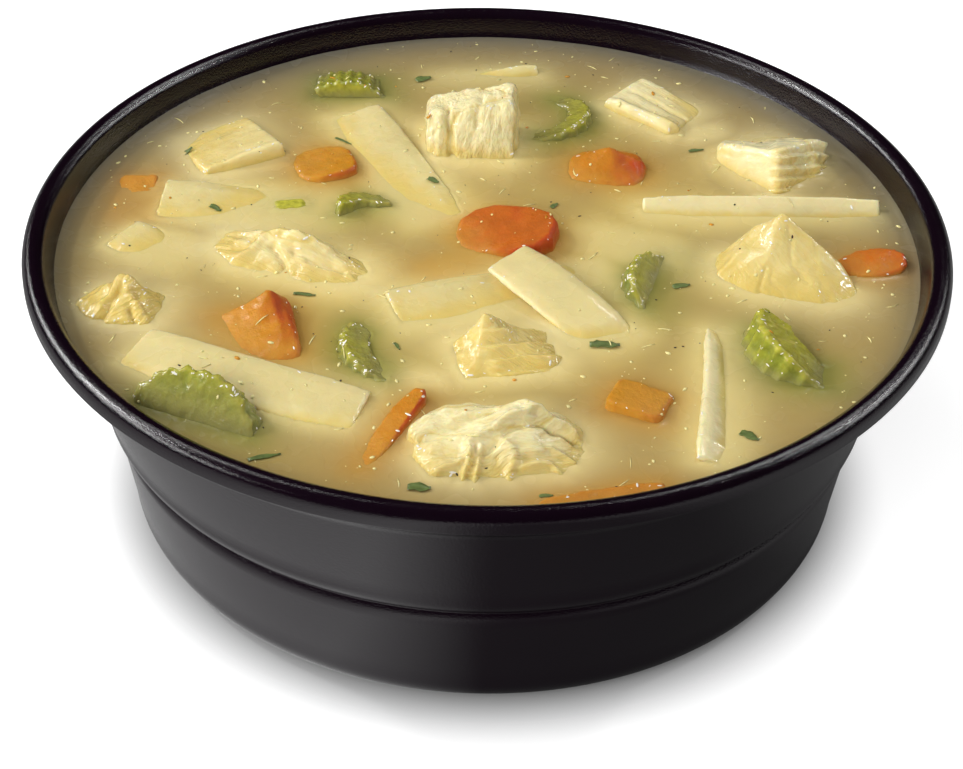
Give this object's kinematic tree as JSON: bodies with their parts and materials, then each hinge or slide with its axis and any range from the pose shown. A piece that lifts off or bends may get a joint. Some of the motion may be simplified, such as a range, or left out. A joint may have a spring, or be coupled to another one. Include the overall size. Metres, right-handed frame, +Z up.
{
  "type": "bowl of chicken noodle vegetable soup",
  "caption": "Round black plastic bowl filled with a creamy yellow soup, with diced chicken, flat noodles, carrot and celery pieces breaking its surface.",
  "frame": {"origin": "centre of the bowl's flat underside", "axes": "+Z up through the bowl's mouth, -Y towards the side that faces the viewer, +X to the viewer's right"},
  "size_m": [0.135, 0.135, 0.0493],
  "materials": {
    "bowl": "satin, finely grained black moulded plastic",
    "broth": "wet, milky yellow cream soup",
    "noodle": "wet, smooth boiled egg noodle",
    "chicken": "wet, fibrous cooked chicken",
    "carrot": "wet cooked carrot",
    "celery": "wet cooked celery, ribbed on its outer side"
  },
  "bodies": {
    "root": {"bowl": "bowl", "broth": "broth", "carrot_1": "carrot", "carrot_2": "carrot", "carrot_3": "carrot", "carrot_4": "carrot", "carrot_5": "carrot", "carrot_6": "carrot", "carrot_7": "carrot", "carrot_8": "carrot", "carrot_9": "carrot", "celery_1": "celery", "celery_2": "celery", "celery_3": "celery", "celery_4": "celery", "celery_5": "celery", "celery_6": "celery", "celery_7": "celery", "chicken_1": "chicken", "chicken_2": "chicken", "chicken_3": "chicken", "chicken_4": "chicken", "chicken_5": "chicken", "chicken_6": "chicken", "chicken_7": "chicken", "chicken_8": "chicken", "chicken_9": "chicken", "noodle_1": "noodle", "noodle_2": "noodle", "noodle_3": "noodle", "noodle_4": "noodle", "noodle_5": "noodle", "noodle_6": "noodle", "noodle_7": "noodle", "noodle_8": "noodle", "noodle_9": "noodle"}
  },
  "joints": []
}
